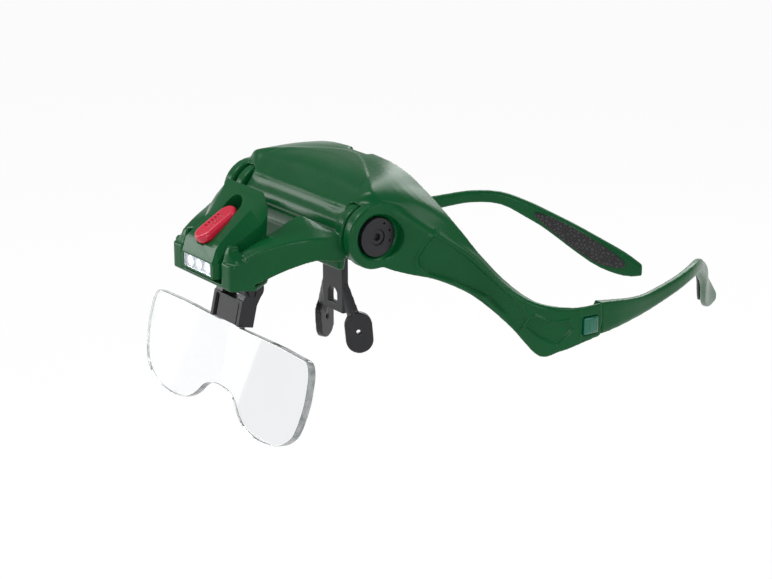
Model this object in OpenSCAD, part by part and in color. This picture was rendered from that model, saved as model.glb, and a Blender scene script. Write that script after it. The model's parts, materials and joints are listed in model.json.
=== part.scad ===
// Lighted magnifier worn on the head: a brow frame with temple arms, a flip-up yoke with a lamp
// and a lens plate, and a nose bracket. Millimetres, +Z up, -Y is the wearer's front, +X the
// wearer's left. Modules are drawn about a point ahead of the brow frame, and placed() then
// moves them so that the origin is where the forehead touches the brow frame.

/* [Brow frame] */
// Radius of the rounded front lip that hides the hinge
barrel_r = 7.6; // [7.2:0.1:7.8]
// Half length of the rounded front lip
barrel_half = 25; // [23:0.1:25.4]
// Radius of the hinge ears
ear_r = 9.75; // [9:0.05:10.5]
// Outer face of each hinge ear, from the middle
ear_x = 35.3; // [35:0.1:36.5]
// Thickness of each hinge ear
ear_t = 4; // [3.8:0.1:4.2]
// Wall of the brow plate
brow_wall = 2.4; // [2:0.1:3]
// Wall of the side arms where the temples plug in
socket_wall = 5.8; // [5.6:0.1:6.4]
// How far back the side arms reach
arm_end_y = 68; // [67.5:0.1:70]
// Outer face of the side arms' ends, from the middle
arm_x = 70.5; // [69.5:0.1:71.5]

/* [Hinge] */
// Distance of the hinge axis behind the drawing's point
hinge_y = 11.5; // [11:0.1:12]
// Height of the hinge axis
hinge_z = -5.5; // [-6:0.1:-5]
// Shank radius of the hinge screws
hinge_pin_r = 2.4; // [2:0.1:2.8]
// Radius of the knobs
knob_r = 5.8; // [5:0.1:6.4]
// Thickness of the knobs
knob_t = 2.2; // [1.8:0.1:2.6]
// Radius of the rings at the ends of the yoke
ring_r = 9.2; // [8.6:0.1:9.3]
// Running clearance of pins in their holes
fit = 0.05; // [0.03:0.01:0.09]

/* [Yoke] */
// Wall of the yoke
yoke_wall = 2.2; // [1.8:0.1:2.6]
// Half width of the yoke's front
yoke_front_half = 17; // [15.5:0.1:18]
// Level of the underside of the yoke's floor
yoke_low_z = -20.2; // [-20.4:0.1:-20]
// Thickness of the yoke's floor
yoke_floor = 1.2; // [1:0.1:1.3]

/* [Lamp] */
// Half width of the lamp's front window
window_half = 7.5; // [6.5:0.1:8]
// Height of the lamp's front window
window_h = 3.9; // [3.4:0.1:4.2]
// Radius of the pins that the lamp tilts on
trunnion_r = 1.2; // [1:0.05:1.5]
// Length of the red switch slider
slider_len = 13.3; // [12:0.1:14]
// Width of the red switch slider
slider_w = 5.5; // [4.8:0.1:6]
// Travel of the switch slider
slider_travel = 3; // [2:0.1:3.2]
// Slope of the switch slider, in degrees
slider_slope = 30; // [28:1:32]
// Diameter of a button cell
cell_d = 7.9; // [7:0.1:7.9]
// Thickness of a button cell
cell_t = 3.6; // [3:0.1:3.8]

/* [Lens] */
// Width of the lens plate
lens_w = 90; // [80:1:95]
// Thickness of the lens plate
lens_t = 2.6; // [2:0.1:2.8]
// Backward lean of the lens plate, in degrees
lens_lean = 12.95; // [8:0.05:16]
// Half width of the lens holder
holder_half = 8; // [7.4:0.1:8.6]
// Half width of the tab on top of the lens plate
tab_half = 5.2; // [4.5:0.1:5.4]
// Clearance of the tab in its socket
tab_gap = 0.15; // [0.1:0.01:0.2]

/* [Nose bracket] */
// Half width of the bracket's stem
stem_half = 5.5; // [5:0.1:6]
// Thickness of the bracket
stem_t = 2.2; // [1.8:0.1:2.6]
// Radius of the holes for a pair of nose pads
pad_hole_r = 0.75; // [0.6:0.05:1]

/* [Temples] */
// Thickness of the temple arms
temple_t = 2.8; // [2.4:0.1:3.2]
// Height of the tongue that plugs into the side arm
tongue_h = 7; // [6.4:0.1:7]
// Thickness of the tongue
tongue_t = 2.6; // [2.4:0.1:2.7]
// Length of the tongue
tongue_len = 8.6; // [8:0.1:9]
// Travel of the release buttons
button_travel = 1.2; // [0.8:0.1:1.3]
// Thickness of the textured ear pads
ear_pad_t = 0.9; // [0.6:0.1:1.2]

/* [Hidden] */

green = [0.10, 0.35, 0.20];
black = [0.16, 0.16, 0.17];
steel = [0.75, 0.76, 0.78];
eps = 0.01;
gap = 0.3;
round_fn = 64;
small_fn = 32;

// The point where the forehead rests, about the drawing's point.
rest_y = 31;
rest_z = 9;
module placed() translate([0, -rest_y, -rest_z]) children();

// A smooth curve through points, with n steps from each to the next.
function curve_at(a, b, c, d, t) =
    0.5 * (2 * b + (c - a) * t + (2 * a - 5 * b + 4 * c - d) * t * t + (3 * b - a - 3 * c + d) * t * t * t);
function smooth(p, n) =
    [for (i = [0 : len(p) - 2]) for (k = [0 : n - 1])
        curve_at(p[max(i - 1, 0)], p[i], p[i + 1], p[min(i + 2, len(p) - 1)], k / n),
     p[len(p) - 1]];
function unit(v) = v / norm(v);
function sum(v) = v * [for (x = v) 1];
function middle(r) = [for (i = [0 : 2]) sum([for (p = r) p[i]]) / len(r)];
function inside_out(points, faces) =
    sum([for (f = faces) points[f[0]] * cross(points[f[1]], points[f[2]])]) > 0;

// A closed skin over rings of equally many points, with fanned ends.
module loft(rings) {
    n = len(rings[0]);
    m = len(rings);
    points = concat([for (r = rings) for (p = r) p], [middle(rings[0]), middle(rings[m - 1])]);
    sides = [for (i = [0 : m - 2]) for (k = [0 : n - 1]) let (j = (k + 1) % n)
        for (f = [[i * n + k, i * n + j, (i + 1) * n + k], [i * n + j, (i + 1) * n + j, (i + 1) * n + k]]) f];
    first = [for (k = [0 : n - 1]) [m * n, (k + 1) % n, k]];
    last = [for (k = [0 : n - 1]) [m * n + 1, (m - 1) * n + k, (m - 1) * n + (k + 1) % n]];
    faces = concat(sides, first, last);
    polyhedron(points, inside_out(points, faces) ? [for (f = faces) [f[2], f[1], f[0]]] : faces, convexity = 8);
}
module mirrored() {
    children();
    mirror([1, 0, 0]) children();
}
module along_x(x0, x1, r, fn = round_fn) translate([x0, 0, 0]) rotate([0, 90, 0])
    cylinder(r = r, h = x1 - x0, $fn = fn);
module at_hinge() translate([0, hinge_y, hinge_z]) children();
module side_plate(x0, x1) translate([x0, 0, 0]) rotate([90, 0, 90]) linear_extrude(x1 - x0) children();

// Brow frame.
// Each row runs from the rear edge over the ridge to the lower edge of the left half.
brow_rows = [
    [[0, 31, 10.8], [0, 15.5, 9.2], [0, 6.8, 1.5], [0, 6.4, 1], [0, 6, 0.5]],
    [[13, 30.7, 10.6], [13, 15.2, 9.1], [13, 6.8, 1.5], [13, 6.4, 1], [13, 6, 0.5]],
    [[24, 30.4, 8.8], [23.2, 15, 8.2], [22.8, 6.9, 1.7], [22.8, 6.5, 1.2], [22.8, 6, 0.5]],
    [[31, 32, 4.8], [29, 16, 7.2], [27.4, 8.7, 3.9], [28, 8, 3.2], [28.4, 7.4, 2.2]],
    [[36.5, 33.3, 1], [34, 21, 5], [32.6, 12, 4.6], [32.8, 11.4, -3], [33, 10.6, -14]],
    [[41, 34.5, -2.5], [38.4, 24.6, 1.6], [36, 15.6, 3.4], [35.7, 14.4, -6], [35.6, 13.6, -15]],
    [[44.5, 36, -6], [42.2, 28.4, -2.8], [39.4, 19.9, 0.2], [39.2, 19.2, -8], [39.4, 18.8, -17]],
    [[47, 37.3, -9], [45.8, 31.8, -6.8], [44, 25.6, -4.9], [44, 25.8, -12], [44.5, 26.4, -19]],
    [[49.6, 39.4, -12.8], [49.9, 36.6, -11.8], [50, 33.6, -10.8], [50.2, 34, -17.5], [50.6, 34.8, -23.8]],
    [[arm_x - 15.3, 44.4, -20.1], [arm_x - 14.7, 42, -19.4], [arm_x - 14.2, 39.5, -18.7], [arm_x - 14, 40.8, -25.8],
     [arm_x - 13.4, 42.9, -32.5]],
    [[arm_x - 9, 49.4, -25], [arm_x - 8.6, 47.4, -24.4], [arm_x - 8.3, 45.2, -23.6], [arm_x - 7.7, 46.6, -32.6],
     [arm_x - 6.6, 48.8, -41]],
    [[arm_x - 3.8, 54.4, -26.2], [arm_x - 3.3, 53.4, -26.1], [arm_x - 2.8, 52.2, -26.2], [arm_x - 2.3, 52.8, -32.6],
     [arm_x - 2.4, 54, -39.8]],
    [[arm_x - 1.2, 60.2, -26.6], [arm_x - 0.8, 60.2, -26.6], [arm_x - 0.4, 60.2, -27], [arm_x, 60.2, -32.2],
     [arm_x - 0.5, 60.2, -38.2]],
    [[arm_x - 0.8, arm_end_y, -26.8], [arm_x - 0.4, arm_end_y, -26.8], [arm_x - 0.1, arm_end_y, -27.2],
     [arm_x + 0.3, arm_end_y, -32], [arm_x - 0.3, arm_end_y, -37]]
];
brow_walls = [for (k = [0, 0, 0, 0, 0, 0.1, 0.2, 0.3, 0.35, 0.45, 0.75, 1, 1, 1])
    brow_wall + k * (socket_wall - brow_wall)];
brow_steps = 3;
brow_skin = smooth(brow_rows, brow_steps);
brow_skin_wall = smooth(brow_walls, brow_steps);

// One slab: columns first to last of a row, and the same points moved by w along one normal.
function slab_ring(rows, i, first, last, w, upright) =
    let (r = rows[i], a = rows[max(i - 1, 0)], b = rows[min(i + 1, len(rows) - 1)],
         along = b[last] - a[last] + b[first] - a[first], across = upright ? [0, 0, -1] : r[last] - r[first],
         n = unit(cross(along, across)))
    concat([for (k = [first : last]) r[k]], [for (k = [last : -1 : first]) r[k] + w * n]);
function flip_x(ring) = [for (p = ring) [-p[0], p[1], p[2]]];
plate_last_row = 10;
flange_first_row = 4;
plate_rings = [for (i = [0 : plate_last_row * brow_steps]) slab_ring(brow_skin, i, 0, 2, brow_wall, false)];
flange_rings = [for (i = [flange_first_row * brow_steps : len(brow_skin) - 1])
    slab_ring(brow_skin, i, 2, 4, brow_skin_wall[i], true)];

ear_in = ear_x - ear_t; // inner face of each ear
ring_gap = 1.4;
lip_clear = 1.2;
ring_x0 = barrel_half + ring_gap;
washer_t = 0.8;
ring_x1 = ear_in - washer_t - 2 * gap;
knob_clear = 0.35;
knob_seat = ear_x - knob_t - 0.1;
lip_bore_r = barrel_r - 2;

// Where the nose bracket is screwed on under the brow plate.
boss_y = 17;
boss_r = 3.4;
boss_low_z = 4.4;
boss_top_z = 7.2;
pilot_r = 1;

// The socket in the end of each side arm.
tongue_x0 = arm_x - 4.6;
tongue_top_z = -28.8;
socket_gap = 0.2;
window_y0 = arm_end_y - 7.2;
button_w = 5.4;
button_h = 5.2;
button_low_z = -35.5;
button_gap = 0.15;

module tongue_space(grow, length) translate([tongue_x0 - grow, arm_end_y - length - grow, tongue_top_z - tongue_h - grow])
    cube([tongue_t + 2 * grow, length + grow + 1, tongue_h + 2 * grow]);
module button_space(grow, x0, x1) translate([x0, window_y0 - grow, button_low_z - grow])
    cube([x1 - x0, button_w + 2 * grow, button_h + 2 * grow]);

module brow_frame() color(green) placed() difference() {
    union() {
        loft(concat([for (i = [len(plate_rings) - 1 : -1 : 1]) flip_x(plate_rings[i])], plate_rings));
        mirrored() loft(flange_rings);
        at_hinge() along_x(-barrel_half, barrel_half, barrel_r);
        mirrored() at_hinge() along_x(ear_in, ear_x, ear_r);
        translate([0, boss_y, boss_low_z]) cylinder(r = boss_r, h = boss_top_z - boss_low_z, $fn = small_fn);
    }
    at_hinge() along_x(-barrel_half - 1, barrel_half + 1, lip_bore_r);
    mirrored() {
        at_hinge() {
            along_x(barrel_half, ear_in, ring_r + 0.5);
            along_x(ear_in - 1, ear_x + 4, hinge_pin_r + fit);
            along_x(knob_seat, ear_x + 6, knob_r + knob_clear);
        }
        tongue_space(socket_gap, tongue_len);
        button_space(button_gap, tongue_x0 + tongue_t, arm_x + 5);
        translate([0, arm_end_y, -60]) cube([arm_x + 5, 5, 60]);
    }
    translate([0, boss_y, boss_low_z - 1]) cylinder(r = pilot_r, h = 3.4, $fn = small_fn);
}

// Nose bracket.
stem_y = 19.3;
foot_t = 2;
foot_front_y = 13.8;
pad_x = 9.4;
pad_y = 22.4;
pad_z = -43.6;
pad_turn = 62;
pad_r = 4.3;
pad_drop = 5;
stem_low_z = -30;
hole_top_z = -31.5;

module paddle() translate([pad_x, pad_y, pad_z]) rotate([0, 0, pad_turn]) rotate([90, 0, 0])
    translate([0, 0, -stem_t / 2]) hull() {
        translate([0, 2, 0]) cylinder(r = pad_r, h = stem_t, $fn = small_fn);
        translate([0.4, -pad_drop + 2.4, 0]) cylinder(r = pad_r, h = stem_t, $fn = small_fn);
    }
module paddle_arm() hull() {
    translate([3.4, stem_y, stem_low_z - 2]) cube([stem_half - 3.4, stem_t, 3]);
    translate([pad_x - 1.2, pad_y - 2, pad_z + 1]) cube([1.6, stem_t, 5]);
}
module nose_bracket() color(black) placed() difference() {
    union() {
        translate([-stem_half, foot_front_y, boss_low_z - foot_t])
            cube([2 * stem_half, stem_y + stem_t - foot_front_y, foot_t]);
        translate([-stem_half, stem_y, stem_low_z]) cube([2 * stem_half, stem_t, boss_low_z - stem_low_z]);
        translate([-stem_half, stem_y, hole_top_z - 7]) cube([2 * stem_half, stem_t, 8.6]);
        mirrored() { paddle(); paddle_arm(); }
    }
    translate([0, stem_y + 5, hole_top_z - 2]) rotate([90, 0, 0]) linear_extrude(10) union() {
        circle(r = 2.4, $fn = small_fn);
        translate([-2.4, -2.4]) square([4.8, 2.4]);
    }
    translate([0, boss_y, boss_low_z - foot_t - 1]) cylinder(r = screw_r + 0.2, h = foot_t + 2, $fn = small_fn);
    mirrored() translate([pad_x, pad_y, pad_z]) rotate([0, 0, pad_turn]) rotate([90, 0, 0])
        translate([0, 0, -stem_t]) cylinder(r = pad_hole_r, h = 2 * stem_t, $fn = small_fn);
}

// A countersunk or cheese-head screw, head down, its head's seat at z = 0.
screw_r = 0.95;
head_r = 1.9;
head_t = 1.1;
module small_screw(length) difference() {
    union() {
        translate([0, 0, -head_t]) cylinder(r = head_r, h = head_t, $fn = small_fn);
        cylinder(r = screw_r, h = length, $fn = small_fn);
    }
    for (a = [0, 90]) rotate([0, 0, a]) translate([-1.2, -0.2, -head_t - eps]) cube([2.4, 0.4, 0.6]);
}
module nose_bracket_screw() color(steel) placed()
    translate([0, boss_y, boss_low_z - foot_t]) small_screw(foot_t + 2);

// Temples. Each row is the outer face: how far in and back from the arm's end, top Z and bottom Z.
temple_rows = [
    [0, 0, -26.9, -37], [0.6, 7, -27.7, -36.4], [2.2, 15, -28.9, -35.7], [4.8, 24, -29.6, -35.1],
    [9.1, 39, -28.6, -33.2], [13.1, 49, -27.7, -32], [19, 58, -28.2, -32.8], [25, 65.2, -31.3, -37.5],
    [30.1, 71.6, -35.1, -42.6], [36.7, 78.3, -39.5, -49.4], [42.7, 84.5, -44.1, -54.9], [47.9, 91.3, -49.1, -58],
    [51.3, 96.6, -53.9, -58.1]
];
temple_steps = 3;
temple_curve = [for (r = smooth(temple_rows, temple_steps)) [arm_x - r[0], arm_end_y + r[1], r[2], r[3]]];
function temple_in(i) = let (
    a = temple_curve[max(i - 1, 0)], b = temple_curve[min(i + 1, len(temple_curve) - 1)],
    d = unit([b[0] - a[0], b[1] - a[1], 0])) i == 0 ? [-1, 0, 0] : [-d[1], d[0], 0];
function strip_ring(i, t0, t1, edge, shrink) = let (
    p = temple_curve[i], n = temple_in(i), top = p[2] - shrink, low = p[3] + shrink, h = top - low, o = [p[0], p[1], 0])
    [for (q = [[t0 + edge, top], [t0, top - 0.2 * h], [t0, low + 0.2 * h], [t0 + edge, low],
               [t1 - edge, low], [t1, low + 0.2 * h], [t1, top - 0.2 * h], [t1 - edge, top]])
        o + q[0] * n + [0, 0, q[1]]];
function temple_thick(i) = temple_t * (1 + 0.6 * pow(max(0, 1 - i / 10), 2));

module temple() {
    difference() {
        union() {
            loft([for (i = [0 : len(temple_curve) - 1]) strip_ring(i, 0, temple_thick(i), 0.6, 0)]);
            tongue_space(0, tongue_len);
        }
        button_space(button_gap, button_floor_x, tongue_x0 + tongue_t + 5);
    }
}
module temple_left() color(green) placed() temple();
module temple_right() color(green) placed() mirror([1, 0, 0]) temple();

// Textured pads on the inner faces of the temple ends.
pad_first = 22;
pad_last = 33;
module ear_pad() loft([for (i = [pad_first : pad_last])
    let (s = (i - pad_first) / (pad_last - pad_first), h = temple_curve[i][2] - temple_curve[i][3])
    strip_ring(i, temple_thick(i) + eps, temple_thick(i) + ear_pad_t, 0.2, h * (0.14 + 0.26 * pow(abs(2 * s - 1), 3)))]);
module ear_pad_left() color(black) placed() ear_pad();
module ear_pad_right() color(black) placed() mirror([1, 0, 0]) ear_pad();

// Release buttons, each on a small coil spring in a pocket of the tongue.
button_face_x = arm_x + 0.5;
button_back_x = button_face_x - 2.7;
button_floor_x = tongue_x0 + 0.6;
spring_r = 1.6;
wire_r = 0.16;
module release_button() difference() {
    button_space(0, button_back_x, button_face_x);
    for (k = [-1 : 1]) translate([button_face_x - 0.3, window_y0 + button_w / 2 + k * 1.3 - 0.2, button_low_z + 0.8])
        cube([1, 0.4, button_h - 1.6]);
}
function coil_ring(a, length, turns, r) = let (x = a / 360 / turns * (length - 2 * wire_r))
    [for (k = [0 : 5]) [x + wire_r * sin(60 * k), (r + wire_r * cos(60 * k)) * cos(a), (r + wire_r * cos(60 * k)) * sin(a)]];
module coil_spring(length, turns, r) translate([wire_r, 0, 0])
    loft([for (s = [0 : 12 * turns]) coil_ring(s * 30, length, turns, r)]);
module button_spring() translate([button_floor_x, window_y0 + button_w / 2, button_low_z + button_h / 2])
    coil_spring(button_back_x - button_floor_x, 3, spring_r);
module release_button_left() color(green) placed() release_button();
module release_button_right() color(green) placed() mirror([1, 0, 0]) release_button();
module button_spring_left() color(steel) placed() button_spring();
module button_spring_right() color(steel) placed() mirror([1, 0, 0]) button_spring();

// Yoke. Each row runs from the inner edge of the deck over the crease to the lower outer edge.
yoke_rows = [
    [[25.8, 3.6, -4.8], [27.8, 3.6, -4.4], [29.6, 3.6, -4], [29.8, 3.6, -8.6], [29.7, 3.9, -13]],
    [[22.4, 1.4, -3.4], [25.8, 0.9, -4.1], [29.2, 0.3, -5.2], [29.4, 0.3, -9], [29.3, 0.3, -12.5]],
    [[18, 0, -2.2], [22.6, -2.2, -3.3], [27.4, -5.6, -5], [27.8, -5.6, -8.4], [28, -5.6, -11.7]],
    [[14.4, -2.6, -1.4], [18.6, -6.8, -3.4], [23.8, -11.6, -6], [24, -11.8, -9.8], [23.8, -12.6, -14.3]],
    [[14.2, -11, -4.6], [17.2, -15, -6.2], [20.3, -18.8, -8.1], [20.4, -19, -12.6], [20.4, -19.4, -17.5]],
    [[13.2, -23.6, -10.4], [15.2, -24.8, -10.9], [yoke_front_half + 0.5, -25.8, -11.6],
     [yoke_front_half + 0.4, -26, -16], [yoke_front_half, -25.6, yoke_low_z]]
];
yoke_skin = smooth(yoke_rows, 3);
yoke_last = len(yoke_skin) - 1;
deck_rings = [for (i = [0 : yoke_last]) slab_ring(yoke_skin, i, 0, 2, -yoke_wall, false)];
wall_rings = [for (i = [0 : yoke_last]) slab_ring(yoke_skin, i, 2, 4, -yoke_wall, true)];

trunnion_y = -24;
trunnion_z = -10;
fin_x0 = 11;
fin_x1 = 13.2;
pivot_y = -14;
pivot_z = -23.9;
pivot_lug_half = 4;
pivot_lug_r = 3;
pivot_pin_r = 1.2;
floor_top_z = yoke_low_z + yoke_floor;

module yoke_floor_shape() polygon([
    [-yoke_front_half + 2, -27.4], [yoke_front_half - 2, -27.4], [yoke_front_half, -25.4], [19.4, -20.5],
    [15, -14], [9, -9], [-9, -9], [-15, -14], [-19.4, -20.5], [-yoke_front_half, -25.4]]);
module front_corner() hull() for (z = [yoke_low_z, -12.4]) {
    translate([fin_x0 + 0.6, -26.6, z]) cylinder(r = 0.8, h = 0.1, $fn = small_fn);
    translate([yoke_front_half - 1.6, -25.6, z]) cylinder(r = 1.8, h = 0.1, $fn = small_fn);
    translate([fin_x0 + 0.6, -22, z]) cylinder(r = 0.8, h = 0.1, $fn = small_fn);
}
module yoke() color(green) placed() difference() {
    union() {
        mirrored() {
            loft(deck_rings);
            loft(wall_rings);
            at_hinge() along_x(ring_x0, ring_x1, ring_r);
            front_corner();
            side_plate(fin_x0, fin_x1) polygon([
                [-27, floor_top_z - eps], [-27, -15], [-26, -9.6], [-25.2, -7.6], [-22.4, -7.6], [-21, -12],
                [-19, floor_top_z - eps]]);
        }
        translate([0, 0, yoke_low_z]) linear_extrude(yoke_floor) yoke_floor_shape();
        side_plate(-pivot_lug_half, pivot_lug_half) union() {
            translate([pivot_y, pivot_z]) circle(r = pivot_lug_r, $fn = small_fn);
            translate([pivot_y - pivot_lug_r, pivot_z])
                square([2 * pivot_lug_r, yoke_low_z - pivot_z + eps]);
        }
    }
    mirrored() {
        at_hinge() along_x(ring_x0 - 1, ring_x1 + 1, hinge_pin_r + fit);
        translate([0, trunnion_y, trunnion_z]) along_x(fin_x0 - 1, fin_x1 + 6, trunnion_r + fit, small_fn);
    }
    at_hinge() along_x(-barrel_half - ring_gap, barrel_half + ring_gap, barrel_r + lip_clear);
    translate([0, pivot_y, pivot_z]) along_x(-pivot_lug_half - 1, pivot_lug_half + 1, pivot_pin_r + fit, small_fn);
}

module knob() difference() {
    along_x(knob_seat + 0.2, ear_x + 0.1, knob_r);
    along_x(ear_in, ear_x + 1, hinge_pin_r + fit);
    for (a = [-20, 20, 60]) rotate([a, 0, 0]) translate([0, knob_r - 1.3, 0]) along_x(ear_x - 0.6, ear_x + 1, 0.35, 16);
}
module knob_left() color(black) placed() at_hinge() knob();
module knob_right() color(black) placed() mirror([1, 0, 0]) at_hinge() knob();

module hinge_screw() difference() {
    along_x(ring_x0 + 0.4, ear_x - 0.3, hinge_pin_r);
    translate([ear_x - 1.4, 0, 0]) rotate([0, 90, 0]) cylinder(r = 1.2, h = 2, $fn = 6);
}
module hinge_screw_left() color(steel) placed() at_hinge() hinge_screw();
module hinge_screw_right() color(steel) placed() mirror([1, 0, 0]) at_hinge() hinge_screw();

module friction_washers() color(black) placed() mirrored() at_hinge() difference() {
    along_x(ring_x1 + eps, ring_x1 + washer_t, ring_r - 1);
    along_x(ring_x1 - 1, ring_x1 + washer_t + 1, hinge_pin_r + fit);
}

// Lamp. Each row is Y, then half width and Z of the top, the shoulder and the bottom.
lamp_low_z = -17.9;
lamp_rows = [
    [-28.8, 8.4, -12.9, 9.2, -14.4, 8.8], [-27.4, 8.6, -9, 9.9, -12, 9.6], [-25, 8.2, -6.8, 10.3, -9.6, 10.2],
    [-20, 8, -3, 11.4, -6.6, 10.6], [-15.4, 9, 1.3, 14.2, -2.2, 11], [-13, 9.8, 4.4, 14.4, 0.4, 11],
    [-11.6, 10, 6.2, 12.4, 2.6, 10]
];
lamp_split_z = -13;
lamp_cavity_half = 9;
lamp_cavity_front = -25.5;
lamp_cavity_rear = -13.2;
module lamp_outer() loft([for (r = lamp_rows) [
    [-r[5], r[0], lamp_low_z], [-r[3], r[0], r[4]], [-r[1], r[0], r[2]],
    [r[1], r[0], r[2]], [r[3], r[0], r[4]], [r[5], r[0], lamp_low_z]]]);

// The switch slides in a trough, whose floor passes through this point.
trough_y = -26.8;
trough_z = -9;
slider_stem_y = 4.3;
slider_stem_len = 3;
stem_half_w = 1;
switch_top = -2.1;
switch_t = 1.4;
module on_slope() translate([0, trough_y, trough_z]) rotate([slider_slope, 0, 0]) children();
module stadium(length, width) hull() for (y = [width / 2, length - width / 2])
    translate([0, y]) circle(d = width, $fn = small_fn);
module lamp_cavity() side_plate(-lamp_cavity_half, lamp_cavity_half) polygon([
    [lamp_cavity_front, lamp_low_z + 1.2], [lamp_cavity_rear, lamp_low_z + 1.2],
    [lamp_cavity_rear, trough_z - 1.6 + (lamp_cavity_rear - trough_y) * tan(slider_slope)],
    [lamp_cavity_front, trough_z - 1.6 + (lamp_cavity_front - trough_y) * tan(slider_slope)]]);
window_low_z = lamp_low_z + 0.6;
window_y = lamp_rows[0][0] + 0.1;
window_t = 0.9;
reflector_y = window_y + window_t + 0.05;
reflector_t = 1.6;
module front_bay(grow) translate([-window_half - grow, window_y - 0.8, window_low_z - grow])
    cube([2 * (window_half + grow), lamp_cavity_front + 0.9 - window_y, window_h + 2 * grow]);

lamp_screw_x = 8.2;
lamp_screw_y = -15.2;
lamp_post_r = 1.7;
lamp_boss_top_z = lamp_low_z + 2.3;
module at_lamp_screws() mirrored() translate([lamp_screw_x, lamp_screw_y, 0]) children();

module lamp_top_shell() color(green) placed() difference() {
    union() {
        difference() {
            intersection() {
                lamp_outer();
                translate([-20, -40, lamp_split_z]) cube([40, 40, 30]);
            }
            lamp_cavity();
        }
        mirrored() translate([0, trunnion_y, trunnion_z]) along_x(lamp_cavity_half, fin_x1, trunnion_r, small_fn);
        at_lamp_screws() translate([0, 0, lamp_boss_top_z]) cylinder(r = lamp_post_r, h = 11, $fn = small_fn);
    }
    at_lamp_screws() translate([0, 0, lamp_boss_top_z - 1]) cylinder(r = pilot_r, h = 5, $fn = small_fn);
    front_bay(0.05);
    on_slope() linear_extrude(8) translate([0, -0.3]) stadium(slider_len + slider_travel + 0.6, slider_w + 0.6);
    on_slope() translate([-stem_half_w - 0.2, slider_stem_y - 0.2, -4])
        cube([2 * stem_half_w + 0.4, slider_stem_len + slider_travel + 0.4, 6]);
}
door_half = 5.5;
door_y0 = -22;
door_y1 = -13.8;
module lamp_bottom_shell() color(green) placed() difference() {
    intersection() {
        lamp_outer();
        translate([-20, -40, lamp_low_z - 1]) cube([40, 40, lamp_split_z - lamp_low_z + 1]);
    }
    difference() {
        lamp_cavity();
        at_lamp_screws() translate([0, 0, lamp_low_z])
            cylinder(r = head_r + 0.4, h = lamp_boss_top_z - lamp_low_z - eps, $fn = small_fn);
    }
    at_lamp_screws() translate([0, 0, lamp_boss_top_z - eps]) cylinder(r = lamp_post_r + 0.1, h = 10, $fn = small_fn);
    at_lamp_screws() translate([0, 0, lamp_low_z - 1]) {
        cylinder(r = head_r + 0.1, h = 1 + head_t + 0.1, $fn = small_fn);
        cylinder(r = screw_r + 0.15, h = 5, $fn = small_fn);
    }
    front_bay(0.05);
    translate([-door_half, door_y0, lamp_low_z - 1]) cube([2 * door_half, door_y1 - door_y0, 3]);
}
module lamp_window() color([0.9, 0.95, 1, 0.5]) placed()
    translate([-window_half, window_y, window_low_z]) cube([2 * window_half, window_t, window_h]);
led_pitch = 4.7;
led_z = window_low_z + window_h / 2;
module lamp_reflector() color("white") placed() difference() {
    translate([-window_half + 0.05, reflector_y, window_low_z + 0.05])
        cube([2 * window_half - 0.1, reflector_t, window_h - 0.1]);
    for (k = [-1 : 1]) translate([k * led_pitch, reflector_y + reflector_t + 0.15, led_z]) rotate([90, 0, 0]) cylinder(r = 1.65, h = 3, $fn = small_fn);
}
module leds() color([1, 1, 0.8]) placed() for (k = [-1 : 1]) translate([k * led_pitch, lamp_cavity_front - 0.2, led_z])
    rotate([90, 0, 0]) {
    cylinder(r = 1.5, h = 1.6, $fn = small_fn);
    translate([0, 0, -0.2]) cylinder(r = 1.3, h = 0.4, $fn = small_fn);
}
module circuit_board() color([0.1, 0.4, 0.2]) placed()
    translate([-8.6, lamp_cavity_front, lamp_low_z + 1.3]) cube([17.2, 0.8, 6.2]);
module switch_body() color(black) placed() on_slope()
    translate([-2.6, slider_stem_y - 0.7, switch_top - switch_t]) cube([5.2, 7.4, switch_t]);
module switch_slider() color([0.8, 0.14, 0.24]) placed() on_slope() difference() {
    union() {
        translate([0, 0, 0.1]) linear_extrude(1.9) stadium(slider_len, slider_w);
        translate([0, 0.5, 1.9]) linear_extrude(0.7) stadium(slider_len - 1, slider_w - 1);
        translate([-stem_half_w, slider_stem_y, switch_top + 0.1]) cube([2 * stem_half_w, slider_stem_len, 2.6]);
    }
    for (k = [-2 : 2]) translate([-1.5, slider_len / 2 + k * 1.1 - 0.2, 2.3]) cube([3, 0.4, 1]);
}
cell_y = -17.4;
cell_z = lamp_low_z + 1.5 + cell_d / 2;
module button_cells() color(steel) placed() translate([0, cell_y, cell_z]) for (k = [-1 : 1]) {
    along_x((k - 0.5) * cell_t + 0.02, (k + 0.5) * cell_t - 0.3, cell_d / 2);
    along_x((k + 0.5) * cell_t - 0.3 - eps, (k + 0.5) * cell_t - 0.02, cell_d / 2 - 1.2, small_fn);
}
module battery_contacts() color([0.8, 0.7, 0.4]) placed() for (s = [-1, 1])
    translate([s * (1.5 * cell_t + 0.25) - 0.15, cell_y - 2.5, lamp_low_z + 1.25]) cube([0.3, 5, cell_d]);
module battery_door() color(green) placed() difference() {
    translate([-door_half + 0.1, door_y0 + 0.1, lamp_low_z]) cube([2 * door_half - 0.2, door_y1 - door_y0 - 0.2, 1.2]);
    for (k = [0 : 2]) translate([-3, door_y0 + 2 + k, lamp_low_z - 1]) cube([6, 0.4, 1.3]);
}
module lamp_screws() color(steel) placed() at_lamp_screws()
    translate([0, 0, lamp_low_z + head_t + 0.1]) small_screw(3.6);

// Lens holder and lens plate, in a frame that leans with the lens about the tilt pin.
tab_face_y = -1.6;
lens_top_z = -12.15;
holder_low_z = -11.6;
holder_top_z = -3.7;
holder_front_y = -3.5;
holder_rear_y = 1.9;
lug_r = 3.4;
tab_len = 6.8;
module leaning() translate([0, pivot_y, pivot_z]) rotate([-lens_lean, 0, 0]) children();

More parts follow.
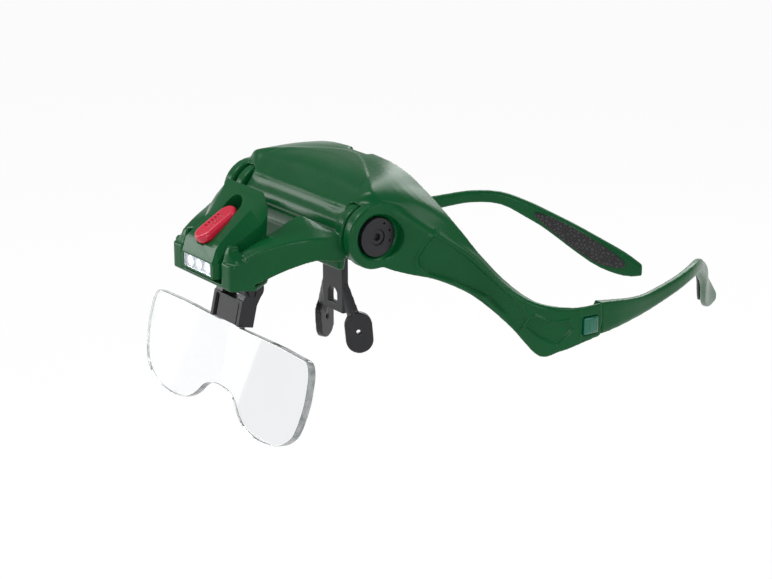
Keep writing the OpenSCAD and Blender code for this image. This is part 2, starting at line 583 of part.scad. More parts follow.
module lens_holder() color(black) placed() leaning() difference() {
    union() {
        translate([-holder_half, holder_front_y, holder_low_z])
            cube([2 * holder_half, holder_rear_y - holder_front_y, holder_top_z - holder_low_z]);
        mirrored() side_plate(pivot_lug_half + 0.15, holder_half) union() {
            circle(r = lug_r, $fn = small_fn);
            polygon([[-lug_r * 0.8, -lug_r * 0.6], [lug_r, 0], [holder_rear_y, holder_top_z - 1],
                     [holder_front_y, holder_top_z - 1]]);
        }
    }
    along_x(-holder_half - 1, holder_half + 1, pivot_pin_r + fit, small_fn);
    translate([-tab_half - tab_gap, tab_face_y - tab_gap, holder_low_z - 1])
        cube([2 * (tab_half + tab_gap), lens_t + 2 * tab_gap, tab_len + 1 + tab_gap]);
    translate([-6.5, holder_front_y - 1, holder_low_z - 1]) cube([13, 1.5, holder_top_z - holder_low_z + 0.3]);
    for (s = [-1, 1]) translate([s * 5.8 - 0.4, holder_front_y - 1, holder_low_z - 1])
        cube([0.8, 2.2, holder_top_z - holder_low_z - 0.2]);
    translate([-pivot_lug_half - 0.15, -pivot_lug_r - 1, holder_top_z - 0.2 + eps])
        cube([2 * pivot_lug_half + 0.3, 2 * pivot_lug_r + 2, 4]);
}
module lens_pivot_screw() color(steel) placed() leaning() difference() {
    union() {
        along_x(-holder_half + 0.2, holder_half + eps, pivot_pin_r, small_fn);
        along_x(holder_half, holder_half + 0.7, 2.5, small_fn);
    }
    translate([holder_half + 0.4, -0.3, -2]) cube([1, 0.6, 4]);
}

// Half outline of the lens plate: distance from the middle and depth below its top edge.
lens_scale_x = lens_w / 90;
lens_half = [
    [0, 0.5], [14, 0.2], [28, 0], [39, 0.3], [41.6, 0.4], [43.2, 1.3], [44.5, 3.8], [44.9, 7], [45, 12],
    [44.4, 16], [43.3, 20.2], [41.7, 23.5], [38.5, 26.2], [34, 28.3], [28, 29.2], [23, 29.3], [17.5, 28.4],
    [14, 26.8], [11, 24.6], [8.7, 22.1], [5.8, 20.5], [2.9, 19.9], [0, 19.7]
];
lens_curve = smooth(lens_half, 2);
lens_side = [for (p = lens_curve) [lens_scale_x * p[0], -p[1]]];
lens_count = len(lens_side);
module lens_plate() color([0.9, 0.95, 0.95, 0.4]) placed() leaning() union() {
    translate([0, tab_face_y + lens_t, lens_top_z]) rotate([90, 0, 0]) linear_extrude(lens_t)
        polygon(concat(lens_side, [for (i = [lens_count - 2 : -1 : 1]) [-lens_side[i][0], lens_side[i][1]]]));
    translate([-tab_half, tab_face_y, lens_top_z - 1])
        cube([2 * tab_half, lens_t, holder_low_z + tab_len - lens_top_z + 1 - 0.2]);
}

brow_frame();
nose_bracket();
nose_bracket_screw();
temple_left();
temple_right();
ear_pad_left();
ear_pad_right();
release_button_left();
release_button_right();
button_spring_left();
button_spring_right();
yoke();
knob_left();
knob_right();
hinge_screw_left();
hinge_screw_right();
friction_washers();
lamp_top_shell();
lamp_bottom_shell();
lamp_window();
lamp_reflector();
leds();
circuit_board();
switch_body();
switch_slider();
button_cells();
battery_contacts();
battery_door();
lamp_screws();
lens_holder();
lens_pivot_screw();
lens_plate();
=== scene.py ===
# Dresses the CAD of a lighted head magnifier: moulded skins, soft edges, materials, light and camera.
import json
import math

import bmesh
import bpy
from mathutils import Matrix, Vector


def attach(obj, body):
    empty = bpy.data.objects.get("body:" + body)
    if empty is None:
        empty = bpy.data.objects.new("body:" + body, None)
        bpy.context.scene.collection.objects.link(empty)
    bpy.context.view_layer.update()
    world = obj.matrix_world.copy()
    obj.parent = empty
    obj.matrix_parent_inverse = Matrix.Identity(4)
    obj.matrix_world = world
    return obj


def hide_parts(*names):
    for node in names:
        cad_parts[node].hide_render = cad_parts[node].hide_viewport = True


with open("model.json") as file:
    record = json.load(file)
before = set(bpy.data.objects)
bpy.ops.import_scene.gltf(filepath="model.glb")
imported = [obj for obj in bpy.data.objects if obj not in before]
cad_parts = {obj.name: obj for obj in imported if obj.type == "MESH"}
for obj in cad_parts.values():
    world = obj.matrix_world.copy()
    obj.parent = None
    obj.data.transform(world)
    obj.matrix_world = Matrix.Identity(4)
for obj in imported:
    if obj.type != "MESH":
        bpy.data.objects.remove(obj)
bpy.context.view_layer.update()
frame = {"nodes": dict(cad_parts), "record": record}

scene = bpy.context.scene
slotOf = {part["node"]: part["material_slot"] for part in frame["record"]["subparts"]}
zeroY, zeroZ = 31, 9  # the shared frame's zero point, in the millimetres of part.scad's modules


def at(x, y, z):  # from those millimetres to metres in the shared frame
    return Vector((x, y - zeroY, z - zeroZ)) / 1000


def drawn(place):  # and back
    return place.x * 1000, place.y * 1000 + zeroY, place.z * 1000 + zeroZ


def onSide(side, place):  # the same place on the left, side 1, or on the right, side -1
    return side * place[0], place[1], place[2]


def activate(obj):
    if bpy.context.object and bpy.context.object.mode != "OBJECT":
        bpy.ops.object.mode_set(mode="OBJECT")
    bpy.ops.object.select_all(action="DESELECT")
    obj.select_set(True)
    bpy.context.view_layer.objects.active = obj


def modify(obj, kind, **settings):
    activate(obj)
    modifier = obj.modifiers.new(kind.title(), kind)
    for key, value in settings.items():
        setattr(modifier, key, value)
    bpy.ops.object.modifier_apply(modifier=modifier.name)


def editAll(obj, *steps):  # each step is an edit-mode operator and its settings
    activate(obj)
    bpy.ops.object.mode_set(mode="EDIT")
    for operator, settings in steps:
        bpy.ops.mesh.select_all(action="SELECT")
        operator(**settings)
    bpy.ops.object.mode_set(mode="OBJECT")


def copyOf(node, name):  # a CAD node's loose triangles, merged into a mesh of its own
    obj = bpy.data.objects.new(name, frame["nodes"][node].data.copy())
    scene.collection.objects.link(obj)
    editAll(obj, (bpy.ops.mesh.remove_doubles, {"threshold": 1e-6}))
    return obj


def soften(obj, voxel, rounds):  # a moulded look: even small faces, with every edge rounded a little
    modify(obj, "REMESH", mode="VOXEL", voxel_size=voxel / 1000)
    modify(obj, "SMOOTH", factor=0.5, iterations=rounds)
    bpy.ops.object.shade_smooth()


# Crisp edges: what counts as flat or as an edge, in degrees, and how much big faces lead the shading
crisp = {"flat": 0.6, "edge": 28, "sharp": 38, "weight": 90}


def mergeFlat():
    return bpy.ops.mesh.dissolve_limited, {"angle_limit": math.radians(crisp["flat"])}


def shadeByBigFaces(obj):
    modify(obj, "WEIGHTED_NORMAL", keep_sharp=True, weight=crisp["weight"])


def roundEdges(obj, width, segments=2):
    editAll(obj, mergeFlat())
    modify(obj, "BEVEL", width=width / 1000, segments=segments, limit_method="ANGLE",
           angle_limit=math.radians(crisp["edge"]), miter_outer="MITER_ARC")
    activate(obj)
    bpy.ops.object.shade_smooth_by_angle(angle=math.radians(crisp["sharp"]))
    shadeByBigFaces(obj)


def cutAway(obj, cutter):
    modify(obj, "BOOLEAN", object=cutter, operation="DIFFERENCE", solver="MANIFOLD")
    bpy.data.objects.remove(cutter)


def joined(pieces, name):
    activate(pieces[0])
    for piece in pieces[1:]:
        piece.select_set(True)
    bpy.ops.object.join()
    pieces[0].name = name
    return pieces[0]


def applyPlace():
    bpy.ops.object.transform_apply(location=True, rotation=True, scale=True)


def primitive(add, **settings):  # added on its own, and then left unturned at the origin
    bpy.ops.object.select_all(action="DESELECT")
    add(**settings)
    applyPlace()
    return bpy.context.object


def rodAlongX(x0, x1, centre, radius, vertices=96):
    return primitive(bpy.ops.mesh.primitive_cylinder_add, vertices=vertices, radius=radius / 1000,
                     depth=abs(x1 - x0) / 1000, location=at((x0 + x1) / 2, *centre),
                     rotation=(0, math.pi / 2, 0))


def block(low, high):
    a, b = at(*low), at(*high)
    return primitive(bpy.ops.mesh.primitive_cube_add, size=1, location=(a + b) / 2,
                     scale=[abs(v) for v in b - a])


# A smooth curve through points, with a number of steps from each to the next
def curvePoint(a, b, c, d, t):
    return 0.5 * (2 * b + (c - a) * t + (2 * a - 5 * b + 4 * c - d) * t * t
                  + (3 * b - a - 3 * c + d) * t ** 3)


def smoothCurve(points, steps):
    last = len(points) - 1
    curve = [curvePoint(points[max(i - 1, 0)], points[i], points[i + 1], points[min(i + 2, last)], k / steps)
             for i in range(last) for k in range(steps)]
    return curve + [points[last]]


def creasedCurve(points, steps, crease):  # it bends sharply at the point numbered crease
    return smoothCurve(points[:crease + 1], steps)[:-1] + smoothCurve(points[crease:], steps)


def denseSheet(rows, rowSteps, columnSteps, crease):
    finer = [creasedCurve(row, columnSteps, crease) for row in rows]
    columns = [smoothCurve([row[k] for row in finer], rowSteps) for k in range(len(finer[0]))]
    return [list(row) for row in zip(*columns)]


def bothSides(rows):
    return [[Vector((-p.x, p.y, p.z)) for p in row] for row in reversed(rows[1:])] + rows


def madeObject(mesh, name):  # from a bmesh, with its faces turned outwards
    bmesh.ops.recalc_face_normals(mesh, faces=mesh.faces)
    obj = bpy.data.objects.new(name, bpy.data.meshes.new(name))
    mesh.to_mesh(obj.data)
    mesh.free()
    scene.collection.objects.link(obj)
    return obj


def walledSheet(name, sheet, walls):  # a closed skin: the sheet, and the same sheet moved in by its wall
    tall, wide = len(sheet), len(sheet[0])
    mesh = bmesh.new()
    outer, inner = [], []
    for i, row in enumerate(sheet):
        outer.append([mesh.verts.new(at(*p)) for p in row])
        inner.append([])
        for k, p in enumerate(row):
            along = sheet[min(i + 1, tall - 1)][k] - sheet[max(i - 1, 0)][k]
            across = row[min(k + 1, wide - 1)] - row[max(k - 1, 0)]
            inner[i].append(mesh.verts.new(at(*(p + walls[i] * along.cross(across).normalized()))))
    for i in range(tall - 1):
        for k in range(wide - 1):
            for side in (outer, inner):
                mesh.faces.new((side[i][k], side[i][k + 1], side[i + 1][k + 1], side[i + 1][k]))
    rim = [(0, k) for k in range(wide)] + [(i, wide - 1) for i in range(1, tall)]
    rim += [(tall - 1, k) for k in range(wide - 2, -1, -1)] + [(i, 0) for i in range(tall - 2, 0, -1)]
    for (a, b), (c, d) in zip(rim, rim[1:] + rim[:1]):
        mesh.faces.new((outer[a][b], outer[c][d], inner[c][d], inner[a][b]))
    return madeObject(mesh, name)


# Material nodes
def addNode(tree, kind, inputs=None, **settings):  # an input is a value or another node's socket
    node = tree.nodes.new("ShaderNode" + kind)
    for key, value in settings.items():
        setattr(node, key, value)
    for key, value in (inputs or {}).items():
        if isinstance(value, bpy.types.NodeSocket):
            tree.links.new(value, node.inputs[key])
        else:
            node.inputs[key].default_value = value
    return node


def maths(tree, operation, *values):
    return addNode(tree, "Math", dict(enumerate(values)), operation=operation).outputs[0]


def mixColours(tree, share, first, second):
    return addNode(tree, "Mix", {0: share, 6: first, 7: second}, data_type="RGBA").outputs[2]


def mixValues(tree, share, first, second):
    return addNode(tree, "Mix", {0: share, 2: first, 3: second}, data_type="FLOAT").outputs[0]


def smoothRange(tree, value, low, high, **limits):
    ends = {"Value": value, "From Min": low, "From Max": high}
    return addNode(tree, "MapRange", ends | limits, interpolation_type="SMOOTHSTEP").outputs["Result"]


def newGroup(name, inputs, outputs):
    group = bpy.data.node_groups.new(name, "ShaderNodeTree")
    for side, sockets in (("INPUT", inputs), ("OUTPUT", outputs)):
        for socketName, value in sockets.items():
            kind = "NodeSocketVector" if socketName == "Vector" else "NodeSocketFloat"
            socket = group.interface.new_socket(socketName, in_out=side, socket_type=kind)
            if value is not None:
                socket.default_value = value
    return group, group.nodes.new("NodeGroupInput").outputs, group.nodes.new("NodeGroupOutput").inputs


# What every moulded part shares: sizes are counts per metre, and from and to are noise values
surface = {"grain": 2500.0, "blotch": 60.0, "waviness": 0.3, "blotchFrom": 0.35, "blotchTo": 0.68,
           "speck": 900.0, "speckReach": 0.045, "speckFrom": 0.7, "rub": 35.0, "rubFrom": 0.5, "rubTo": 0.72,
           "dustColour": (0.5, 0.5, 0.48, 1), "cellEdge": 0.28}


def makeMouldedGroup():  # the fine grain and the slow unevenness of a moulded face
    group, given, out = newGroup("mouldedSurface", {
        "Vector": None, "Grain Size": surface["grain"], "Blotch Size": surface["blotch"],
        "Waviness": surface["waviness"]}, {"Height": None, "Blotch": None})
    place = given["Vector"]
    grain = addNode(group, "TexNoise", {"Vector": place, "Scale": given["Grain Size"], "Detail": 2.0})
    waves = addNode(group, "TexNoise", {"Vector": place, "Scale": given["Blotch Size"], "Detail": 3.0})
    height = maths(group, "MULTIPLY_ADD", waves.outputs["Fac"], given["Waviness"], grain.outputs["Fac"])
    blotch = smoothRange(group, waves.outputs["Fac"], surface["blotchFrom"], surface["blotchTo"])
    group.links.new(height, out["Height"])
    group.links.new(blotch, out["Blotch"])
    return group


def makeMarksGroup():  # sparse dust and fine rubbed marks
    group, given, out = newGroup("handlingMarks", {
        "Vector": None, "Density": surface["speckFrom"], "Mark Size": surface["speck"]},
        {"Dust": None, "Rub": None})
    place = given["Vector"]
    specks = addNode(group, "TexVoronoi", {"Vector": place, "Scale": given["Mark Size"]})
    where = addNode(group, "TexNoise", {"Vector": place, "Scale": surface["rub"], "Detail": 4.0})
    dust = maths(group, "LESS_THAN", specks.outputs["Distance"], surface["speckReach"])
    here = maths(group, "GREATER_THAN", where.outputs["Fac"], given["Density"])
    rub = smoothRange(group, where.outputs["Fac"], surface["rubFrom"], surface["rubTo"])
    group.links.new(maths(group, "MULTIPLY", dust, here), out["Dust"])
    group.links.new(rub, out["Rub"])
    return group


mouldedGroup = makeMouldedGroup()
marksGroup = makeMarksGroup()
usualLook = {"blotchSize": surface["blotch"], "dust": 0.05, "bump": 0.05, "bumpDistance": 0.00005,
             "shader": {}}


def mouldedFinish(name, look):
    look = usualLook | look
    material = bpy.data.materials.new(name)
    material.use_nodes = True
    tree = material.node_tree
    shader = tree.nodes["Principled BSDF"]
    place = addNode(tree, "TexCoord").outputs["Object"]
    moulded = addNode(tree, "Group", {"Vector": place, "Blotch Size": look["blotchSize"]},
                      node_tree=mouldedGroup)
    marks = addNode(tree, "Group", {"Vector": place}, node_tree=marksGroup)
    colour = mixColours(tree, moulded.outputs["Blotch"], (*look["colour"], 1), (*look["deeper"], 1))
    dust = maths(tree, "MULTIPLY", marks.outputs["Dust"], look["dust"])
    colour = mixColours(tree, dust, colour, surface["dustColour"])
    height = moulded.outputs["Height"]
    if "cells" in look:  # a grippy field of small raised cells
        cells = addNode(tree, "TexVoronoi", {"Vector": place, "Scale": look["cells"]},
                        feature="DISTANCE_TO_EDGE")
        height = smoothRange(tree, cells.outputs["Distance"], 0, surface["cellEdge"])
        colour = mixColours(tree, height, colour, (*look["cellTop"], 1))
    smoother, rougher = look["roughness"]
    rough = addNode(tree, "MapRange", {
        "Value": marks.outputs["Rub"], "To Min": smoother, "To Max": rougher})
    bump = addNode(tree, "Bump", {
        "Height": height, "Strength": look["bump"], "Distance": look["bumpDistance"]})
    tree.links.new(colour, shader.inputs["Base Color"])
    tree.links.new(rough.outputs["Result"], shader.inputs["Roughness"])
    tree.links.new(bump.outputs["Normal"], shader.inputs["Normal"])
    for socket, value in look["shader"].items():
        shader.inputs[socket].default_value = value
    return material


finishLooks = {
    "green_plastic": {"colour": (0.003, 0.088, 0.024), "deeper": (0.002, 0.078, 0.021),
                      "roughness": (0.25, 0.31), "shader": {"Specular IOR Level": 0.17}},
    "button_plastic": {"colour": (0.001, 0.15, 0.085), "deeper": (0.001, 0.12, 0.065),
                       "roughness": (0.1, 0.15), "shader": {"Coat Weight": 0.15}},
    "black_plastic": {"colour": (0.016, 0.016, 0.019), "deeper": (0.012, 0.012, 0.015),
                      "roughness": (0.3, 0.4), "bump": 0.1, "shader": {"Specular IOR Level": 0.35}},
    "black_rubber": {"colour": (0.010, 0.010, 0.012), "deeper": (0.008, 0.008, 0.010),
                     "roughness": (0.45, 0.55), "bump": 0.6, "bumpDistance": 0.0003, "cells": 780,
                     "cellTop": (0.045, 0.042, 0.045), "shader": {"Specular IOR Level": 0.35}},
    "steel": {"colour": (0.55, 0.55, 0.57), "deeper": (0.48, 0.48, 0.5), "roughness": (0.22, 0.34),
              "shader": {"Metallic": 1.0}},
    "white_plastic": {"colour": (0.85, 0.87, 0.9), "deeper": (0.8, 0.82, 0.86), "roughness": (0.3, 0.4)},
    "board": {"colour": (0.02, 0.15, 0.06), "deeper": (0.015, 0.12, 0.05), "roughness": (0.35, 0.45)},
    "brass": {"colour": (0.7, 0.55, 0.25), "deeper": (0.62, 0.47, 0.2), "roughness": (0.25, 0.38),
              "shader": {"Metallic": 1.0}},
    "red_plastic": {"colour": (0.62, 0.012, 0.045), "deeper": (0.54, 0.008, 0.035),
                    "roughness": (0.24, 0.32)},
    "led_lens": {"colour": (0.85, 0.9, 1.0), "deeper": (0.8, 0.86, 1.0), "roughness": (0.1, 0.2),
                 "shader": {"Emission Color": (0.9, 0.95, 1, 1), "Emission Strength": 1.2}},
    "clear_acrylic": {"colour": (0.86, 0.875, 0.885), "deeper": (0.85, 0.865, 0.875),
                      "roughness": (0.02, 0.03), "bump": 0.0, "dust": 0.0,
                      "shader": {"Transmission Weight": 1.0, "IOR": 1.49}},
    "clear_window": {"colour": (0.95, 0.97, 1.0), "deeper": (0.93, 0.96, 1.0),
                     "roughness": (0.05, 0.08), "bump": 0.0, "dust": 0.0,
                     "shader": {"Transmission Weight": 1.0, "IOR": 1.45}},
}
finishes = {slot: mouldedFinish(slot, look) for slot, look in finishLooks.items()}


def dress(obj, slot):
    obj.data.materials.clear()
    obj.data.materials.append(finishes[slot])


for node, obj in frame["nodes"].items():
    dress(obj, slotOf[node])
print("materials made")


def fit(obj, body, node, slot=None):  # the finished piece takes the place of its CAD node
    slot = slot or slotOf[node]
    dress(obj, slot)
    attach(obj, body)
    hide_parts(node)


# Brow frame. Each row runs from the rear edge over the ridge to the lower edge, in millimetres.
brow = {
    "rows": [
        [(0, 31, 10.8), (0, 27, 10.75), (0, 22.6, 10.35), (0, 14.6, 8.6), (0, 8.6, 3.7), (0, 6.9, 1.5),
         (0, 6.22, 0), (0, 4.61, -2.3), (0, 3.94, -4.7)],
        [(13, 30.8, 10.6), (13.4, 26, 10.55), (13.5, 19.9, 9.95), (13.2, 13.4, 8.1), (13, 8.5, 3.6),
         (13, 6.9, 1.5), (13, 6.22, 0), (13, 4.61, -2.3), (13, 3.94, -4.7)],
        [(24, 30.6, 8.8), (24.8, 23.6, 9.2), (25, 15.2, 8.75), (24.4, 11.6, 6.8), (23.4, 8.4, 3.6),
         (23, 6.9, 1.6), (23, 6.22, 0), (23, 4.61, -2.3), (23, 3.94, -4.7)],
        [(31, 32, 4.8), (31.5, 23, 7), (31.4, 12, 7.3), (30.6, 11, 6.5), (29.4, 9.8, 5.2),
         (28.4, 8.8, 3.9), (28.8, 7.4, 2.4), (30.2, 4.2, -2), (30.8, 3.8, -6)],
        [(36.5, 33.3, 1), (36, 24, 4.4), (34.8, 13.6, 5.2), (34.4, 12.6, 5), (34, 11.8, 4.7),
         (33.8, 11, 4.3), (34, 9.4, 2.8), (34.6, 7, -4), (34.8, 8.4, -11)],
        [(41, 34.5, -2.5), (39.4, 28, 0.9), (37.6, 20, 3), (37, 18, 3.3), (36.5, 16.7, 3.3),
         (36.1, 15.6, 2.8), (35.9, 14.9, 1.4), (35.7, 14, -6), (35.6, 13.8, -15.2)],
        [(44.5, 36, -6), (43.3, 32, -4), (42.2, 28.4, -2.4), (40.9, 24.4, -0.9), (40.1, 21.8, -0.2),
         (39.5, 20, -0.4), (39.3, 19.3, -2.2), (39.2, 19, -8.5), (39.4, 18.9, -17.1)],
        [(47, 37.3, -9), (46.4, 34.6, -7.7), (45.8, 31.8, -6.6), (45, 28.9, -5.4), (44.4, 27, -4.9),
         (44, 25.7, -5.1), (43.9, 25.2, -6.6), (44.1, 25.6, -12), (44.6, 26.5, -19.2)],
        [(49.6, 39.4, -12.8), (49.7, 38, -12.2), (49.9, 36.6, -11.6), (50, 35.2, -11), (50, 34.3, -10.7),
         (50, 33.5, -11), (50, 33.4, -12.3), (50.2, 34, -17.5), (50.7, 34.9, -24)],
        [(55.2, 44.4, -20.1), (55.5, 43.3, -19.7), (55.8, 42, -19.2), (56, 40.9, -18.7),
         (56.2, 40, -18.6), (56.3, 39.4, -19), (56.3, 39.5, -20.3), (56.5, 40.8, -25.8),
         (57.1, 43.1, -32.8)],
        [(61.5, 49.6, -25.2), (61.7, 48.5, -24.8), (61.9, 47.4, -24.3), (62, 46.5, -23.9),
         (62.1, 45.8, -23.8), (62.2, 45.2, -24.1), (62.2, 45.3, -25.6), (62.9, 46.6, -32.6),
         (63.7, 49.3, -41.8)],
        [(66.7, 54.6, -26.4), (66.9, 54, -26.3), (67.1, 53.4, -26.2), (67.3, 52.9, -26.2),
         (67.5, 52.5, -26.3), (67.8, 52.1, -26.7), (68, 52.2, -28), (68.2, 52.8, -32.8),
         (67.5, 54.7, -40.6)],
        [(69.1, 60.3, -26.7), (69.3, 60.2, -26.7), (69.5, 60.2, -26.7), (69.7, 60.2, -26.8),
         (69.9, 60.2, -26.9), (70.2, 60.2, -27.3), (70.4, 60.2, -28.4), (70.5, 60.2, -32.3),
         (70, 60.2, -38.6)],
        [(69.6, 68, -26.8), (69.8, 68, -26.8), (69.9, 68, -26.8), (70.1, 68, -26.9), (70.3, 68, -27),
         (70.5, 68, -27.4), (70.7, 68, -28.5), (70.8, 68, -32), (70.2, 68, -37.2)],
    ],
    "walls": [2.4] * 9 + [2.8, 4, 5.4, 5.6, 5.6],  # one for each row
    "rowSteps": 8, "columnSteps": 4, "crease": 2,
    # kept under 200,000 triangles
    "voxel": 0.45, "lastVoxel": 0.42, "rounds": 3, "faceShare": 0.86,  # the share of faces kept at the end
    # The hinge: its axis in Y and Z, the lip along it, and an ear at each end with a round seat for the knob
    "axis": (11.5, -5.5), "lipRadius": 7.3, "lipHalf": 25.8, "bore": 5.4, "boreSpare": 1,
    "earRadius": 9.75, "earInner": 31.3, "earOuter": 35.3, "ringGap": 0.2, "ringSpace": 9.4,
    "knobSeat": 33.0, "knobSpace": 6.2, "knobStep": (0.6, 0.9), "outside": 42,
    "grooves": [((6.75, 1.75), 0.42), ((4.05, -5.1), 0.5)], "grooveShort": 0.6, "grooveVertices": 24,
    "guard": ((-23.4, 7.8, -18.8), (23.4, 9.8, -9)), "guardTaper": 0.88,  # the light guard below the lip
    # The release button's window, and what is cut off square behind the arm's end
    "window": ((66, 60.65, -35.65), (76, 66.35, -30.15)), "armEnd": ((40, 68, -50), (80, 72, -10)),
}


# Relief on the brow, drawn in Y and Z on the arms' faces and in X and Y on top. It lies only where the skin
# faces outwards or upwards far enough, and each field's rim fades over the edge's width.
relief = {
    "armFrom": 38, "armFacing": 0.25, "armFront": 0.3, "edge": 0.9,
    "panels": [  # sunk fields: depth and outline
        (0.95, [(25.3, -5.4), (23.4, -8.2), (21.8, -12.1), (22.3, -14.6), (23.9, -16.7), (30.1, -18.9),
                (34, -21.2), (38, -23.7), (42, -28.8), (45, -34.2), (45.6, -30), (44.6, -26.6), (40, -20.6),
                (34.4, -13.4), (29.6, -8.4)]),
        (0.8, [(45.6, -32.4), (46.6, -29.6), (48, -29.4), (51.3, -31.2), (56.2, -30.8), (57.4, -33.4),
               (53.2, -38), (49, -35.6)]),
    ],
    "beads": [  # raised lines: height, half the width, and the line
        (0.5, 0.8, [(26.4, -4.2), (24.6, -6.2), (22.8, -9.6), (21.2, -12.6), (21.6, -15.4), (24.2, -17.2),
                    (30.2, -19.6), (34, -21.9), (38, -24.4), (42, -29.6), (45.4, -35.6)]),
        (0.45, 0.7, [(45, -33.4), (46.2, -30), (47.6, -28.8), (51.3, -30.6), (56.2, -30.2)]),
        (0.3, 0.7, [(59.4, -27.6), (59.9, -31), (60, -36.6)]),
    ],
    "beadFacing": (0.45, 0.7),  # a bead fades out where the face turns away between these
    "field": [(-27, 6), (-26, 9), (-24.6, 13), (-21.7, 17.6), (-11, 23.5), (-3, 27), (3, 27), (11, 23.5),
              (21.7, 17.6), (24.6, 13), (26, 9), (27, 6)],
    "fieldHeight": 0.12, "fieldFrom": 8.5, "fieldRise": 4, "fieldHalf": 29, "topFacing": 0.3,
    "notchHalf": 5, "notchDepth": 1.1, "notchFrom": 28.6, "notchRise": 1.5, "notchMargin": 1,
}


def smoothStep(x):
    x = min(max(x, 0), 1)
    return x * x * (3 - 2 * x)


def toSegment(y, z, start, end):
    dy, dz = end[0] - start[0], end[1] - start[1]
    t = min(max(((y - start[0]) * dy + (z - start[1]) * dz) / (dy * dy + dz * dz), 0), 1)
    return math.hypot(y - start[0] - t * dy, z - start[1] - t * dz)


def toLine(line, y, z):
    return min(toSegment(y, z, start, end) for start, end in zip(line, line[1:]))


def depthInside(outline, y, z):  # distance from a point to the outline's edge, below zero outside it
    closed = outline + outline[:1]
    inside = False
    for (y0, z0), (y1, z1) in zip(closed, closed[1:]):
        if (z0 > z) != (z1 > z) and y < (y1 - y0) * (z - z0) / (z1 - z0) + y0:
            inside = not inside
    return toLine(closed, y, z) * (1 if inside else -1)


def fieldShare(outline, y, z):
    return smoothStep(0.5 + depthInside(outline, y, z) / relief["edge"])


def armMoves(normal, outwards, y, z):
    for depth, outline in relief["panels"]:
        yield -normal * depth * fieldShare(outline, y, z)
    low, high = relief["beadFacing"]
    for height, half, line in relief["beads"]:
        facing = smoothStep((outwards - low) / (high - low))
        yield normal * height * smoothStep(1 - toLine(line, y, z) / half) * facing


def fieldMove(x, y):
    rise = smoothStep((y - relief["fieldFrom"]) / relief["fieldRise"])
    return Vector((0, 0, relief["fieldHeight"] * fieldShare(relief["field"], x, y) * rise))


def notchMove(x, y):
    rise = smoothStep((y - relief["notchFrom"]) / relief["notchRise"])
    return Vector((0, 0, -relief["notchDepth"] * smoothStep(relief["notchHalf"] - abs(x) + 0.5) * rise))


def addRelief(obj):
    obj.data.update()
    moves = []
    for vertex in obj.data.vertices:
        x, y, z = drawn(vertex.co)
        normal = vertex.normal
        outwards = normal.x * (1 if x > 0 else -1)
        here = []
        if abs(x) > relief["armFrom"] and outwards > relief["armFacing"] and normal.y < relief["armFront"]:
            here += armMoves(normal, outwards, y, z)
        if normal.z > relief["topFacing"] and abs(x) < relief["fieldHalf"] and y > relief["fieldFrom"]:
            here.append(fieldMove(x, y))
        margin = relief["notchMargin"]
        if y > relief["notchFrom"] - margin and abs(x) < relief["notchHalf"] + margin:
            here.append(notchMove(x, y))
        moves.append(here)
    for vertex, here in zip(obj.data.vertices, moves):
        for move in here:
            vertex.co += move / 1000


def makeGuard():
    guard = block(*brow["guard"])
    low = min(vertex.co.z for vertex in guard.data.vertices)
    for vertex in guard.data.vertices:  # its lower corners slope in
        if vertex.co.z < low + 0.001:
            vertex.co.x *= brow["guardTaper"]
    return guard


def makeBrow():
    axis, lipHalf, outside = brow["axis"], brow["lipHalf"], brow["outside"]
    rows = [[Vector(p) for p in row] for row in brow["rows"]]
    walls = smoothCurve(brow["walls"][:0:-1] + brow["walls"], brow["rowSteps"])
    sheet = denseSheet(bothSides(rows), brow["rowSteps"], brow["columnSteps"], brow["crease"])
    pieces = [walledSheet("browShell", sheet, walls), makeGuard(),
              rodAlongX(-lipHalf, lipHalf, axis, brow["lipRadius"])]
    for side in (-1, 1):
        pieces.append(rodAlongX(side * brow["earInner"], side * brow["earOuter"], axis, brow["earRadius"]))
    shell = joined(pieces, "browShell")
    modify(shell, "REMESH", mode="VOXEL", voxel_size=brow["voxel"] / 1000)
    stepDepth, stepWidth = brow["knobStep"]
    for side in (-1, 1):
        for start, end, radius in [
                (lipHalf + brow["ringGap"], brow["earInner"], brow["ringSpace"]),
                (brow["knobSeat"], outside, brow["knobSpace"]),
                (brow["earOuter"] - stepDepth, outside, brow["knobSpace"] + stepWidth)]:
            cutAway(shell, rodAlongX(side * start, side * end, axis, radius))
        for low, high in (brow["window"], brow["armEnd"]):
            cutAway(shell, block(onSide(side, low), onSide(side, high)))
    boreEnd = lipHalf + brow["boreSpare"]
    cutAway(shell, rodAlongX(-boreEnd, boreEnd, axis, brow["bore"]))
    grooveEnd = lipHalf - brow["grooveShort"]
    for place, radius in brow["grooves"]:
        cutAway(shell, rodAlongX(-grooveEnd, grooveEnd, place, radius, brow["grooveVertices"]))
    soften(shell, brow["lastVoxel"], brow["rounds"])
    addRelief(shell)
    modify(shell, "DECIMATE", ratio=brow["faceShare"])
    bpy.ops.object.shade_smooth()
    fit(shell, "frame", "brow_frame")


makeBrow()
print("brow frame made")

# Yoke: the leaf-shaped fins that the lamp tilts between join its front corners
yoke = {
    "leaf": [(11.3, -27, -12.4), (11.3, -26, -9.4), (11.3, -24.6, -7.2), (11.3, -22.6, -8),
             (11.3, -20.6, -12.2), (13.4, -25.6, -9), (13.4, -23, -8.6), (16.6, -25.8, -12.1),
             (16.8, -22.4, -10.9), (13.4, -27, -13.2), (13.4, -27, -17), (11.3, -27, -17),
             (16.2, -22, -15), (11.3, -21, -15)],
    "voxel": 0.33, "rounds": 6,
}


def makeLeaf(side):
    mesh = bmesh.new()
    for place in yoke["leaf"]:
        mesh.verts.new(at(*onSide(side, place)))
    bmesh.ops.convex_hull(mesh, input=mesh.verts)
    return madeObject(mesh, "leaf")


